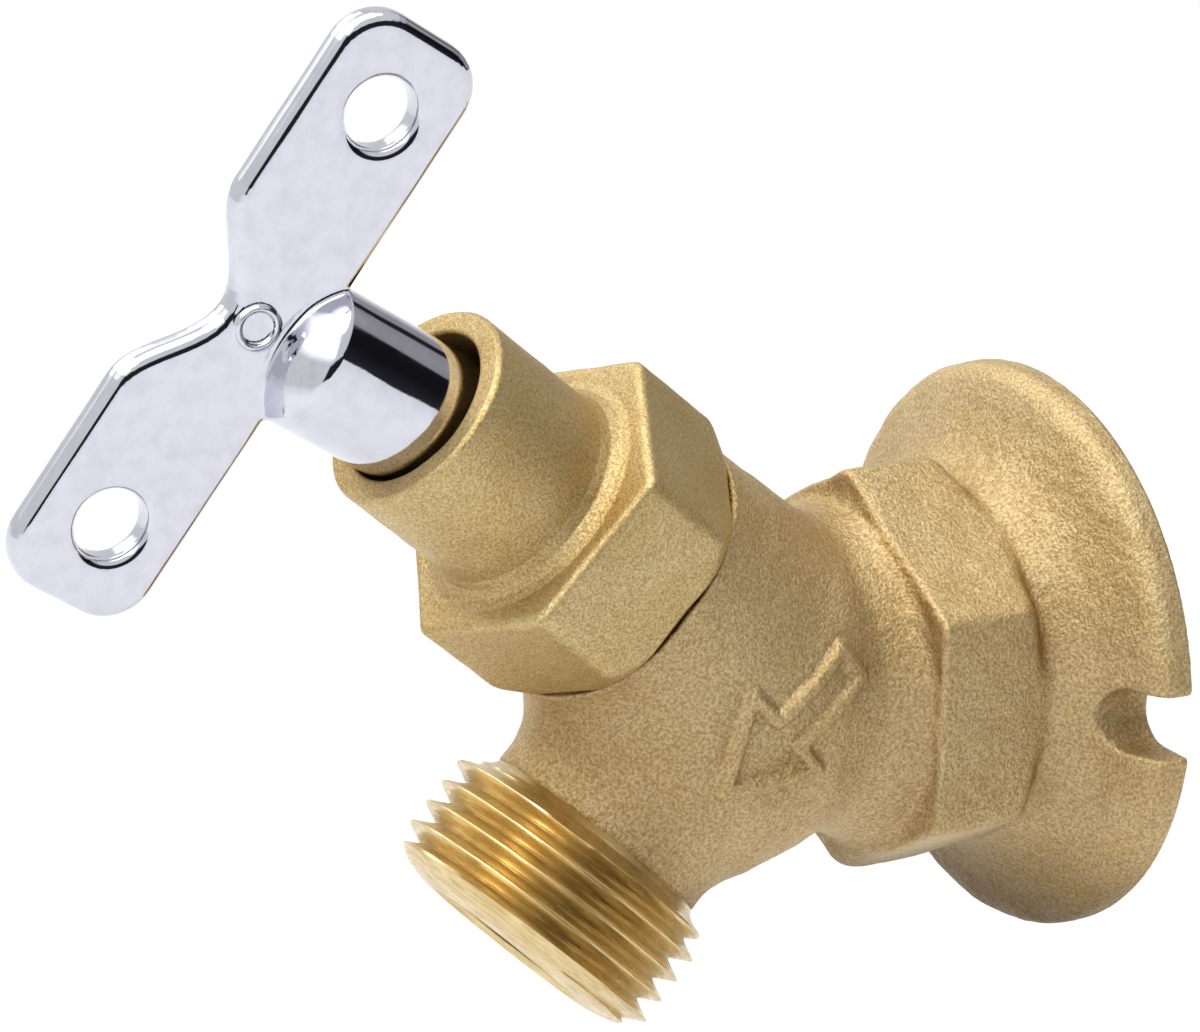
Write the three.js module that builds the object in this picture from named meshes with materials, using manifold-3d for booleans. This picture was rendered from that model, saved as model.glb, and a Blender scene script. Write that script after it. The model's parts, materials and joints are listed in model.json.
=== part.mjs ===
// Loose-key (lock-shield) hose bib, in millimetres.
//
// Frame: the origin is the centre of the wall flange's back face, on the inlet's axis.
// The wall is the plane y = 0, the valve stands out from it along -Y, +Z is up and +X is to the right of
// someone who faces the wall. Three axes lie in the plane x = 0: the inlet's along -Y, the bonnet's, which
// rises away from the wall, and the outlet's, which falls away from it. Each is the local +Z of its own frame.

import * as THREE from "three";
import { mergeVertices } from "three/addons/utils/BufferGeometryUtils.js";
import Module from "manifold-3d";

const wasm = await Module();
wasm.setup();

// ---------------------------------------------------------------- driving dimensions

const DEG = Math.PI / 180;
const TURN = 2 * Math.PI;
const GAP = 0.3; // between pieces that touch on the real valve
const PAST = 1; // how far a cut runs past the face it opens

// Where the bonnet's and the outlet's axes cross the inlet's axis, and how steeply they leave it.
const BONNET_AXIS = { fromWall: 27.45, elevation: 40.28 };
const OUTLET_AXIS = { fromWall: 34.48, elevation: -46.09 };

// The wall flange: a bell that runs from a thin rim into the hub behind the wrench hex.
const FLANGE = {
  radius: 25.9,
  slotWidth: 5.8,
  slotEnd: 19.2, // how near to the axis the slot's round end comes
  bell: [
    [25.9, 0],
    [25.9, 2.0],
    [25.4, 2.9],
    [24.4, 3.6],
    [21.6, 4.7],
    [19.6, 5.7],
    [18.0, 7.1],
    [16.9, 8.7],
    [16.4, 10.2],
  ],
};
const HEX = { cornerRadius: 19.31, back: 9.5, front: 20.3, chamfer: 30, chamferFrom: 16.7 };
// The round body in front of the hex: [radius, distance from the wall].
const BARREL = [
  [14.6, 19.3],
  [14.6, 21.2],
  [13.9, 23.2],
  [13.4, 25.4],
  [13.5, 28],
  [13.9, 31],
  [13.9, 33],
];
const GLOBE_RADIUS = 14.2;

// 3/4 in pipe socket: 14 threads an inch, tapering 1 in 16.
const INLET_THREAD = { minor: 12.15, major: 13.2, pitch: 1.814, crest: 0.35, depth: 12.5, taper: 1 / 32 };
const INLET_RELIEF = { radius: 12.0, end: 16.5 };
const INLET_PASSAGE = { radius: 6.5, drop: 2, end: 26 };

// The bonnet neck, measured along the bonnet's axis.
const NECK = { radius: 13.2, top: 21.1, threadRoot: 10.4, rim: 27.9 };
const CHAMBER = { radius: 8.8, floor: 2.6, top: 17.5 };
const SEAT = { port: 5.2, lipRadius: 6.7, height: 4.6, pillarFoot: -14, portFoot: -8 };

// The outlet: [radius, distance along the outlet's axis] of the cast neck, then 3/4-11.5 NH hose thread.
const OUTLET_NECK = [
  [13.2, 0],
  [12.7, 7],
  [11.6, 10.5],
  [10.8, 13],
  [10.6, 15.6],
];
const HOSE_THREAD = {
  crestRadius: 13.49,
  rootRadius: 11.75,
  pitch: 2.209,
  crest: 0.32,
  start: 16.2,
  end: 26.8,
  startsAt: 0.414, // of a turn, counted from the side nearest the wall
};
// The rounded end: [radius, distance along the outlet's axis], out to the hose washer's flat face.
const OUTLET_END = [
  [11.75, 26.8],
  [11.2, 27.3],
  [10.2, 27.7],
];
const OUTLET_BORE = { radius: 8, start: -3 };

// Neck and nut thread, and the coarse thread that lifts the stem.
const NECK_THREAD = { crestRadius: 11.0, pitch: 1.6, crest: 0.3, start: 23.2, end: 26.6 };
const STEM_THREAD = { crestRadius: 8.15, rootRadius: 7.1, pitch: 2.117, crest: 0.4, start: 14.5, end: 22 };
const THREAD_CLEARANCE = 0.18;

// The bonnet nut, measured along the bonnet's axis.
const NUT = {
  cornerRadius: 15.08,
  cornerAngle: -36.17,
  bottom: 21.4,
  chamferRadius: 13.25,
  chamferHeight: 1.95,
  top: 32.95,
  shieldFillet: [
    [11.3, 32.95],
    [10.5, 33.2],
    [9.85, 33.8],
    [9.55, 34.6],
    [9.47, 35.5],
  ],
  shieldBore: 7.21,
  rim: 47.69,
  shoulder: 30.4,
  packingBore: 8.0,
  ceiling: 37.0,
  stemHole: 4.5,
  floor: 38.3,
};

// The stem and what it carries.
const STEM = { shaft: 4.1, holderRadius: 7.0, lip: 6.6, holderFloor: 7.9, holderTop: 12, waist: 5, squareFoot: 39.2 };
const STEM_SQUARE = { side: 6.35, top: 46.4, edgeBevel: 0.4 };
const SEAT_WASHER = { radius: 6.3, hole: 2.2, bottom: SEAT.height + GAP };
const WASHER_SCREW = { shank: 1.9, headRadius: 3.3, headHeight: 1.4, slot: 0.9, slotDepth: 0.7, end: 13 };
const SCREW_HOLE = { radius: 2.2, end: 13.6 };

// The rings in the nut, from the neck's rim up.
const GASKET = { inner: 8.7, outer: 10.3, thickness: 0.6 };
const PACKING_WASHER = { inner: 4.4, outer: 10.3, thickness: 1 };
const PACKING_RING = { inner: 4.4, outer: 7.7, thickness: 2.2 };
const GLAND = { inner: 4.4, outer: 7.7 };

// The loose key, measured from the shield's mouth along its own axis. It sags and sits turned in its socket.
const KEY = {
  sag: 7.39,
  roll: -7.92,
  drop: 0.55,
  sink: 0.07,
  barrelRadius: 6.4,
  mouth: -7.5,
  dome: [
    [6.4, 12.3],
    [5.6, 13.3],
    [4.3, 14.25],
    [2.7, 14.85],
    [1.2, 15.15],
  ],
  socketSide: 7.7,
  socketEnd: 0.5,
};
const KEY_PLATE = {
  near: 12.0,
  far: 26.1,
  halfLength: 27.8,
  thickness: 3.05,
  cornerRadius: 4.4,
  holeRadius: 3.15,
  holeAt: 20.1,
  holeHeight: 18.9,
  notchDepth: 5.2,
  notchHalfWidth: 9.5,
  notchSteps: 14,
};

const SEGMENTS = { flange: 44, body: 30, hose: 26, inlet: 20, neck: 18, stem: 20, nut: 32, ring: 24, key: 28 };

// ---------------------------------------------------------------- solids from geometry

// A closed geometry as a solid, whichever way its faces point.
function solidOf(geometry) {
  const bare = geometry.index ? geometry.toNonIndexed() : geometry.clone();
  bare.deleteAttribute("normal");
  bare.deleteAttribute("uv");
  const merged = mergeVertices(bare, 1e-4);
  const corners = merged.index.array;
  const triangles = [];
  for (let i = 0; i < corners.length; i += 3) {
    const [a, b, c] = corners.slice(i, i + 3);
    if (a !== b && b !== c && c !== a) triangles.push(a, b, c);
  }
  const vertProperties = new Float32Array(merged.attributes.position.array);
  const build = (triVerts) => new wasm.Manifold(new wasm.Mesh({ numProp: 3, vertProperties, triVerts }));
  const solid = build(new Uint32Array(triangles));
  return solid.volume() > 0 ? solid : build(new Uint32Array(triangles.reverse()));
}

function geometryOf(solid) {
  const mesh = solid.getMesh();
  const geometry = new THREE.BufferGeometry();
  const flat = new Float32Array(mesh.numVert * 3);
  for (let i = 0; i < mesh.numVert; i++) {
    flat.set(mesh.vertProperties.subarray(i * mesh.numProp, i * mesh.numProp + 3), 3 * i);
  }
  geometry.setAttribute("position", new THREE.BufferAttribute(flat, 3));
  geometry.setIndex(new THREE.BufferAttribute(mesh.triVerts, 1));
  geometry.computeVertexNormals();
  return geometry;
}

const join = (...solids) => solids.reduce((whole, next) => whole.add(next));
const cut = (solid, ...tools) => tools.reduce((left, tool) => left.subtract(tool), solid);

// The frame of an axis that leaves the inlet's axis at `fromWall` and rises by `elevation` degrees.
function axisFrame({ fromWall, elevation }) {
  const z = new THREE.Vector3(0, -Math.cos(elevation * DEG), Math.sin(elevation * DEG));
  const x = new THREE.Vector3(1, 0, 0);
  const frame = new THREE.Matrix4().makeBasis(x, z.clone().cross(x), z);
  return frame.setPosition(0, -fromWall, 0);
}
const INLET_FRAME = axisFrame({ fromWall: 0, elevation: 0 });
const BONNET_FRAME = axisFrame(BONNET_AXIS);
const OUTLET_FRAME = axisFrame(OUTLET_AXIS);

// A solid of revolution about local +Z from [radius, height] points, closed onto the axis.
function revolve(profile, segments, frame) {
  const closed = [[0, profile[0][1]], ...profile, [0, profile.at(-1)[1]]];
  const geometry = new THREE.LatheGeometry(
    closed.map(([radius, height]) => new THREE.Vector2(radius, height)),
    segments,
  ).rotateX(Math.PI / 2);
  return solidOf(frame ? geometry.applyMatrix4(frame) : geometry);
}

function cylinder(radius, bottom, top, segments, frame) {
  const profile = [
    [radius, bottom],
    [radius, top],
  ];
  return revolve(profile, segments, frame);
}

function tube(inner, outer, bottom, top, segments) {
  return cut(cylinder(outer, bottom, top, segments), cylinder(inner, bottom - PAST, top + PAST, segments));
}

function prism(shape, bottom, top, frame, curveSegments = 12) {
  const geometry = new THREE.ExtrudeGeometry(shape, { depth: top - bottom, bevelEnabled: false, curveSegments });
  geometry.translate(0, 0, bottom);
  return solidOf(frame ? geometry.applyMatrix4(frame) : geometry);
}

// A regular outline with `sides` corners, the first of them at `angle` degrees.
function polygon(sides, cornerRadius, angle) {
  const corners = Array.from({ length: sides }, (_, i) => {
    const at = angle * DEG + (i * TURN) / sides;
    return new THREE.Vector2(cornerRadius * Math.cos(at), cornerRadius * Math.sin(at));
  });
  return new THREE.Shape(corners);
}

// A screw: a core with a right-hand ridge of trapezoid section wound round it, from z = start to z = end.
// The ridge starts and ends buried in the core, rising over the first and last part of a turn.
const RIDGE_BURY = 0.25;
const RIDGE_FADE = 0.35; // of a turn
const FLANK = Math.tan(30 * DEG);

function screw(thread, segments, core, frame) {
  const { crestRadius, rootRadius, pitch, crest, start, end, taper = 0, startsAt = 0 } = thread;
  const foot = rootRadius - RIDGE_BURY;
  const footWidth = Math.min(crest + 2 * FLANK * (crestRadius - foot), pitch * 0.96);
  const tooth = new THREE.Shape([
    new THREE.Vector2(foot, -footWidth / 2),
    new THREE.Vector2(crestRadius, -crest / 2),
    new THREE.Vector2(crestRadius, crest / 2),
    new THREE.Vector2(foot, footWidth / 2),
  ]);
  const turns = (end - start - footWidth) / pitch;
  const steps = Math.round(turns * segments);
  const ridge = new THREE.ExtrudeGeometry(tooth, { depth: steps / segments, steps, bevelEnabled: false });
  const place = ridge.attributes.position;
  for (let i = 0; i < place.count; i++) {
    const along = place.getZ(i); // in turns
    const fromEnd = Math.min(along, steps / segments - along);
    const rise = Math.min(1, 0.05 + fromEnd / RIDGE_FADE);
    const z = start + footWidth / 2 + place.getY(i) + along * pitch;
    const radius = foot + (place.getX(i) - foot) * rise - taper * z;
    const angle = (along + startsAt) * TURN;
    place.setXYZ(i, radius * Math.sin(angle), -radius * Math.cos(angle), z);
  }
  const solid = solidOf(frame ? ridge.applyMatrix4(frame) : ridge);
  return core ? join(core, solid) : solid;
}

// The same thread cut into a piece that the screw turns in, larger by `clearance` all round.
function withClearance(thread, clearance) {
  const wider = clearance / Math.cos(30 * DEG) - clearance * FLANK;
  return {
    ...thread,
    crestRadius: thread.crestRadius + clearance,
    rootRadius: thread.rootRadius + 2 * clearance,
    crest: thread.crest + 2 * wider,
  };
}

function meshOf(name, solid, material) {
  const mesh = new THREE.Mesh(geometryOf(solid), material);
  mesh.name = name;
  return mesh;
}

const metal = (color, roughness) => new THREE.MeshStandardMaterial({ color, roughness, metalness: 1 });
const soft = (color) => new THREE.MeshStandardMaterial({ color, roughness: 0.8, metalness: 0 });

// ---------------------------------------------------------------- the valve body

function flangeAndHex() {
  const flange = revolve(FLANGE.bell, SEGMENTS.flange, INLET_FRAME);
  const [throat, throatAt] = FLANGE.bell.at(-1);
  const hub = cylinder(throat, throatAt - PAST, HEX.front - PAST, SEGMENTS.flange, INLET_FRAME);
  const hexagon = prism(polygon(6, HEX.cornerRadius, 30), HEX.back, HEX.front, INLET_FRAME);
  const clear = HEX.cornerRadius + 0.5;
  const chamfer = revolve(
    [
      [HEX.chamferFrom, HEX.back],
      [clear, HEX.back + (clear - HEX.chamferFrom) * Math.tan(HEX.chamfer * DEG)],
      [clear, HEX.front],
    ],
    SEGMENTS.flange,
    INLET_FRAME,
  );
  return join(flange, hub, hexagon.intersect(chamfer));
}

function flangeSlot(side) {
  const half = FLANGE.slotWidth / 2;
  const centre = side * (FLANGE.slotEnd + half);
  const outline = new THREE.Shape();
  outline.moveTo(side * (FLANGE.radius + PAST), -side * half);
  outline.lineTo(side * (FLANGE.radius + PAST), side * half);
  outline.lineTo(centre, side * half);
  outline.absarc(centre, 0, half, (side * Math.PI) / 2, (side * Math.PI) / 2 + Math.PI, false);
  outline.closePath();
  return prism(outline, -PAST, HEX.back, INLET_FRAME, 12);
}

function globe() {
  const centre = new THREE.Vector3(0, 0, 0).applyMatrix4(BONNET_FRAME);
  const towards = new THREE.Vector3(0, 0, 1).transformDirection(BONNET_FRAME);
  centre.addScaledVector(towards, SEAT.height + 0.4);
  const ball = new THREE.SphereGeometry(GLOBE_RADIUS, SEGMENTS.body, SEGMENTS.body / 2);
  return solidOf(ball.translate(centre.x, centre.y, centre.z));
}

function castBody() {
  const barrel = revolve(BARREL, SEGMENTS.body, INLET_FRAME);
  const neck = revolve(
    [
      [NECK.radius, 0],
      [NECK.radius, NECK.top],
      [NECK.threadRoot, NECK.top],
      [NECK.threadRoot, NECK.rim],
    ],
    SEGMENTS.neck * 2,
    BONNET_FRAME,
  );
  const outlet = revolve(
    [
      ...OUTLET_NECK,
      [HOSE_THREAD.rootRadius, HOSE_THREAD.start],
      ...OUTLET_END,
    ],
    SEGMENTS.hose,
    OUTLET_FRAME,
  );
  return join(flangeAndHex(), barrel, globe(), neck, outlet);
}

// Inlet passage and the port under the seat; then the chamber above the seat and the bore to the outlet.
function waterways() {
  const inletFoot = INLET_RELIEF.end - PAST;
  const lowered = INLET_FRAME.clone().setPosition(0, 0, -INLET_PASSAGE.drop);
  const beforeSeat = join(
    cylinder(INLET_RELIEF.radius, INLET_THREAD.depth - 2, INLET_RELIEF.end, SEGMENTS.inlet, INLET_FRAME),
    cylinder(INLET_PASSAGE.radius, inletFoot, INLET_PASSAGE.end, SEGMENTS.ring, lowered),
    cylinder(SEAT.port, SEAT.portFoot, SEAT.height + PAST, SEGMENTS.ring, BONNET_FRAME),
  );
  const afterSeat = join(
    cylinder(CHAMBER.radius, CHAMBER.floor, CHAMBER.top, SEGMENTS.stem, BONNET_FRAME),
    cylinder(OUTLET_BORE.radius, OUTLET_BORE.start, OUTLET_END.at(-1)[1] + PAST, SEGMENTS.hose, OUTLET_FRAME),
  );
  const pillar = cylinder(SEAT.lipRadius, SEAT.pillarFoot, SEAT.height, SEGMENTS.ring, BONNET_FRAME);
  return join(beforeSeat, cut(afterSeat, pillar));
}

function inletTap() {
  const { minor, major, pitch, crest, depth, taper } = INLET_THREAD;
  const core = revolve(
    [
      [minor + taper * PAST, -PAST],
      [minor - taper * depth, depth],
    ],
    SEGMENTS.inlet,
    INLET_FRAME,
  );
  const thread = { crestRadius: major, rootRadius: minor, pitch, crest, start: -pitch / 2, end: depth, taper };
  return screw(thread, SEGMENTS.inlet, core, INLET_FRAME);
}

function neckTap() {
  const thread = withClearance(STEM_THREAD, THREAD_CLEARANCE);
  const core = cylinder(thread.rootRadius, CHAMBER.top - PAST, NECK.rim + PAST, SEGMENTS.stem, BONNET_FRAME);
  // It starts whole turns below the stem's thread, so that the two are in mesh.
  const start = STEM_THREAD.start - threadShift(STEM_THREAD, thread);
  return screw({ ...thread, start, end: NECK.rim + thread.pitch }, SEGMENTS.stem, core, BONNET_FRAME);
}

// A wider ridge begins lower by this much when both ridges share one centre line.
function threadShift(narrow, wide) {
  const footWidth = ({ crestRadius, rootRadius, crest, pitch }) =>
    Math.min(crest + 2 * FLANK * (crestRadius - rootRadius + RIDGE_BURY), pitch * 0.96);
  return (footWidth(wide) - footWidth(narrow)) / 2;
}

function valveBody() {
  const outside = join(
    castBody(),
    screw(HOSE_THREAD, SEGMENTS.hose, null, OUTLET_FRAME),
    screw({ ...NECK_THREAD, rootRadius: NECK.threadRoot }, SEGMENTS.neck, null, BONNET_FRAME),
  );
  return cut(outside, waterways(), inletTap(), neckTap(), flangeSlot(1), flangeSlot(-1));
}

// ---------------------------------------------------------------- pieces on the bonnet's axis

function bonnetNut() {
  const hexagon = prism(polygon(6, NUT.cornerRadius, NUT.cornerAngle), NUT.bottom, NUT.top);
  const chamfer = revolve(
    [
      [NUT.chamferRadius, NUT.bottom],
      [NUT.cornerRadius + 0.1, NUT.bottom + NUT.chamferHeight],
      [NUT.cornerRadius + 0.1, NUT.top],
    ],
    SEGMENTS.nut,
  );
  const [[filletRadius]] = NUT.shieldFillet;
  const [shieldRadius] = NUT.shieldFillet.at(-1);
  const shield = revolve(
    [[filletRadius, NUT.top - PAST], ...NUT.shieldFillet, [shieldRadius, NUT.rim]],
    SEGMENTS.nut,
  );
  const neckThread = { ...NECK_THREAD, rootRadius: NECK.threadRoot };
  const tapThread = withClearance(neckThread, GAP);
  const tap = screw(
    {
      ...tapThread,
      start: NECK_THREAD.start - threadShift(neckThread, tapThread) - 2 * NECK_THREAD.pitch,
      end: NUT.shoulder,
    },
    SEGMENTS.neck,
    cylinder(tapThread.rootRadius, NUT.bottom - PAST, NUT.shoulder, SEGMENTS.neck),
  );
  return cut(
    join(hexagon.intersect(chamfer), shield),
    tap,
    cylinder(NUT.packingBore, NUT.shoulder - PAST, NUT.ceiling, SEGMENTS.ring),
    cylinder(NUT.stemHole, NUT.ceiling - PAST, NUT.floor + PAST, SEGMENTS.ring),
    cylinder(NUT.shieldBore, NUT.floor, NUT.rim + PAST, SEGMENTS.nut),
  );
}

function squareBar(side, bevel, bottom, top) {
  const half = side / 2;
  const inner = half - bevel;
  const corners = [
    [half, -inner],
    [half, inner],
    [inner, half],
    [-inner, half],
    [-half, inner],
    [-half, -inner],
    [-inner, -half],
    [inner, -half],
  ];
  return prism(new THREE.Shape(corners.map(([x, y]) => new THREE.Vector2(x, y))), bottom, top);
}

function stem() {
  const core = revolve(
    [
      [STEM.holderRadius, STEM.lip],
      [STEM.holderRadius, STEM.holderTop],
      [STEM.waist, STEM.holderTop + 1],
      [STEM.waist, STEM_THREAD.start - 0.6],
      [STEM_THREAD.rootRadius, STEM_THREAD.start],
      [STEM_THREAD.rootRadius, STEM_THREAD.end],
      [STEM.shaft, STEM_THREAD.end],
      [STEM.shaft, STEM.squareFoot],
    ],
    SEGMENTS.stem,
  );
  const { side, edgeBevel, top } = STEM_SQUARE;
  const square = squareBar(side, edgeBevel, STEM.squareFoot - 0.5, top).rotate([0, 0, KEY.roll]);
  return cut(
    join(screw(STEM_THREAD, SEGMENTS.stem, core), square),
    cylinder(SEAT_WASHER.radius + GAP, STEM.lip - PAST, STEM.holderFloor, SEGMENTS.stem),
    cylinder(SCREW_HOLE.radius, STEM.holderFloor - PAST, SCREW_HOLE.end, SEGMENTS.stem),
  );
}

function seatWasher() {
  return tube(SEAT_WASHER.hole, SEAT_WASHER.radius, SEAT_WASHER.bottom, STEM.holderFloor - GAP, SEGMENTS.ring);
}

function washerScrew() {
  const top = SEAT_WASHER.bottom - GAP;
  const foot = top - WASHER_SCREW.headHeight;
  const body = revolve(
    [
      [WASHER_SCREW.headRadius, foot],
      [WASHER_SCREW.headRadius, top],
      [WASHER_SCREW.shank, top],
      [WASHER_SCREW.shank, WASHER_SCREW.end],
    ],
    SEGMENTS.stem,
  );
  const slot = new THREE.BoxGeometry(2 * WASHER_SCREW.headRadius + PAST, WASHER_SCREW.slot, WASHER_SCREW.slotDepth);
  return cut(body, solidOf(slot.translate(0, 0, foot + WASHER_SCREW.slotDepth / 2 - 0.05)));
}

// The rings stand on each other from the neck's rim to the nut's ceiling.
function ringStack() {
  const heights = [];
  let bottom = NECK.rim + GAP;
  for (const thickness of [
    GASKET.thickness,
    PACKING_WASHER.thickness,
    PACKING_RING.thickness,
    PACKING_RING.thickness,
  ]) {
    heights.push([bottom, bottom + thickness]);
    bottom += thickness + GAP;
  }
  heights.push([bottom, NUT.ceiling - GAP]);
  return heights;
}

// ---------------------------------------------------------------- the loose key

// The plate's outline across the key: x runs along the T, y along the key's axis.
function keyPlateOutline() {
  const { near, far, halfLength, cornerRadius, notchDepth, notchHalfWidth, notchSteps } = KEY_PLATE;
  const across = halfLength - cornerRadius;
  const outline = new THREE.Shape();
  outline.moveTo(-across, near);
  outline.lineTo(across, near);
  outline.absarc(across, near + cornerRadius, cornerRadius, -Math.PI / 2, 0, false);
  outline.absarc(across, far - cornerRadius, cornerRadius, 0, Math.PI / 2, false);
  for (let i = 0; i <= notchSteps; i++) {
    const x = notchHalfWidth * (1 - (2 * i) / notchSteps);
    outline.lineTo(x, far - (notchDepth / 2) * (1 + Math.cos((Math.PI * x) / notchHalfWidth)));
  }
  outline.absarc(-across, far - cornerRadius, cornerRadius, Math.PI / 2, Math.PI, false);
  outline.absarc(-across, near + cornerRadius, cornerRadius, Math.PI, 1.5 * Math.PI, false);
  for (const side of [-1, 1]) {
    const hole = new THREE.Path();
    hole.absarc(side * KEY_PLATE.holeAt, KEY_PLATE.holeHeight, KEY_PLATE.holeRadius, 0, TURN, true);
    outline.holes.push(hole);
  }
  return outline;
}

function looseKey() {
  const half = KEY_PLATE.thickness / 2;
  // The outline's x goes to the key's local y, its y to the key's axis and its depth to local x.
  const stand = new THREE.Matrix4().makeBasis(
    new THREE.Vector3(0, 1, 0),
    new THREE.Vector3(0, 0, 1),
    new THREE.Vector3(1, 0, 0),
  );
  const plate = prism(keyPlateOutline(), -half, half, stand, 10);
  const barrel = revolve(
    [
      [KEY.barrelRadius - 0.3, KEY.mouth],
      [KEY.barrelRadius, KEY.mouth + 0.3],
      ...KEY.dome,
    ],
    SEGMENTS.key,
  );
  return cut(join(plate, barrel), squareBar(KEY.socketSide, 0.01, KEY.mouth - PAST, KEY.socketEnd));
}

// ---------------------------------------------------------------- the assembly

const castBrass = metal(0xb59a5e, 0.55);
const turnedBrass = metal(0xc79f45, 0.3);
const chrome = metal(0xd5d6de, 0.08);
const rubber = soft(0x1d1d1d);
const fibre = soft(0x7b2f22);
const graphite = soft(0x3a3b3d);

const bonnet = new THREE.Group();
BONNET_FRAME.decompose(bonnet.position, bonnet.quaternion, bonnet.scale);
const [gasketAt, washerAt, lowerAt, upperAt, glandAt] = ringStack();
const ring = ({ inner, outer }, [bottom, top]) => tube(inner, outer, bottom, top, SEGMENTS.ring);
bonnet.add(
  meshOf("bonnet_nut", bonnetNut(), castBrass),
  meshOf("stem", stem(), turnedBrass),
  meshOf("seat_washer", seatWasher(), rubber),
  meshOf("washer_screw", washerScrew(), turnedBrass),
  meshOf("bonnet_gasket", ring(GASKET, gasketAt), fibre),
  meshOf("packing_washer", ring(PACKING_WASHER, washerAt), turnedBrass),
  meshOf("packing_ring_lower", ring(PACKING_RING, lowerAt), graphite),
  meshOf("packing_ring_upper", ring(PACKING_RING, upperAt), graphite),
  meshOf("packing_gland", ring(GLAND, glandAt), turnedBrass),
);

const key = new THREE.Group();
key.position.set(0, -KEY.drop, NUT.rim - KEY.sink);
key.rotation.set(KEY.sag * DEG, 0, KEY.roll * DEG);
key.add(meshOf("loose_key", looseKey(), chrome));
bonnet.add(key);

const hoseBib = new THREE.Group();
hoseBib.add(meshOf("valve_body", valveBody(), castBrass), bonnet);

export default hoseBib;
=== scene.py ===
"""Looks of the loose-key hose bib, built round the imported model.

Lengths are in millimetres until a mesh is made. Lights, floor and camera are in metres.

Cast and plated pieces are meshed from signed-distance functions, so that their edges and blends are rounded
as a casting's are. Turned pieces and screw threads are skins of revolution whose rows follow the thread.
"""

import json
import math

import bpy
import numpy as np
from mathutils import Matrix, Vector


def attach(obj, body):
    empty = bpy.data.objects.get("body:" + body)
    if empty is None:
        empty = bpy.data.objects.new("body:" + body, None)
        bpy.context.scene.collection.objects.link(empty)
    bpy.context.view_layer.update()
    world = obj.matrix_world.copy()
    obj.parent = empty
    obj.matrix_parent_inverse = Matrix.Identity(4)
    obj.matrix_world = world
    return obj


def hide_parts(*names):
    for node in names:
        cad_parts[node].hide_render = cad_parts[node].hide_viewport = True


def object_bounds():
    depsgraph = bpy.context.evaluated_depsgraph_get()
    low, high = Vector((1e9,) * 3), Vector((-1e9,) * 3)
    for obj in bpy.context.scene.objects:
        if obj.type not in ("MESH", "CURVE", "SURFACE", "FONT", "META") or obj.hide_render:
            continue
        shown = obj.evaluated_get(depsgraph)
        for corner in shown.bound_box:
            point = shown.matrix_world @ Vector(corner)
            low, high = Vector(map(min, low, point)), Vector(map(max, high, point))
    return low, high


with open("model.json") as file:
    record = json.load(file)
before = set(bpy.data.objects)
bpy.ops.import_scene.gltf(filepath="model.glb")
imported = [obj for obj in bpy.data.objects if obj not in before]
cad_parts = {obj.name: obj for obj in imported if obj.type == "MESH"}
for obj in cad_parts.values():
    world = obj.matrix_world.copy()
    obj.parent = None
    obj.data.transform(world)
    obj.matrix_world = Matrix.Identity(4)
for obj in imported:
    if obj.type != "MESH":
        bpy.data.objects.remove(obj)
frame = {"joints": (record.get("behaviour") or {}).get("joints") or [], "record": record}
cad_low, cad_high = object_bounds()

MM = 0.001
TURN = 2 * math.pi
record = frame["record"]
joints = {joint["name"]: joint for joint in frame["joints"]}
mounts = {mount["name"]: mount for mount in record["mounts"]}


# ---------------------------------------------------------------- axes


class Axis:
    """A right-handed frame with z along an axis of the valve and x across it."""

    def __init__(self, origin, z, roll=0.0):
        self.origin = np.array(origin, float)
        self.z = np.array(z, float) / np.linalg.norm(z)
        sideways = np.array((1.0, 0.0, 0.0))
        across = sideways - self.z * np.dot(sideways, self.z)
        across /= np.linalg.norm(across)
        up = np.cross(self.z, across)
        self.x = math.cos(roll) * across + math.sin(roll) * up
        self.y = np.cross(self.z, self.x)

    def at(self, x, y, z):
        return self.origin + self.x * x + self.y * y + self.z * z

    def local(self, points):
        return (points - self.origin) @ np.stack([self.x, self.y, self.z], 1)

    def world(self, points):
        return self.origin + points @ np.stack([self.x, self.y, self.z])

    def away(self, q):
        """Directions square off the axis at points given in this frame."""
        flat = q[:, :2] / np.maximum(np.hypot(q[:, 0], q[:, 1]), 1e-6)[:, None]
        return flat @ np.stack([self.x, self.y])


NUT_RIM = 47.69  # the shield's mouth, along the bonnet's axis
OUTLET_END = 27.7  # the hose washer's face, along the outlet's axis
KEY_ROLL = math.radians(-7.92)
KEY_SINK, KEY_DROP = 0.07, 0.55  # where the key's axis passes the shield's mouth

inlet = Axis((0, 0, 0), (0, -1, 0))
bonnet = Axis(np.array(joints["stem_turn"]["pos_m"]) / MM, joints["stem_turn"]["axis"])
hose_face = np.array(mounts["hose_seat_face"]["pos_m"]) / MM
outlet_z = np.array(mounts["hose_seat_face"]["axis"])
outlet = Axis(hose_face * (0, 1, 1) - outlet_z * OUTLET_END, outlet_z)
key = Axis(bonnet.at(0, -KEY_DROP, NUT_RIM - KEY_SINK), joints["key_lift"]["axis"], KEY_ROLL)


# ---------------------------------------------------------------- signed distances


def blend_in(a, b, width):
    """Union of two distances with a fillet about `width` across."""
    overlap = np.maximum(width - np.abs(a - b), 0) / width
    return np.minimum(a, b) - overlap * overlap * width / 4


def round_off(a, b, width):
    """Intersection of two distances with a rounded edge."""
    return -blend_in(-a, -b, width)


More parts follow.
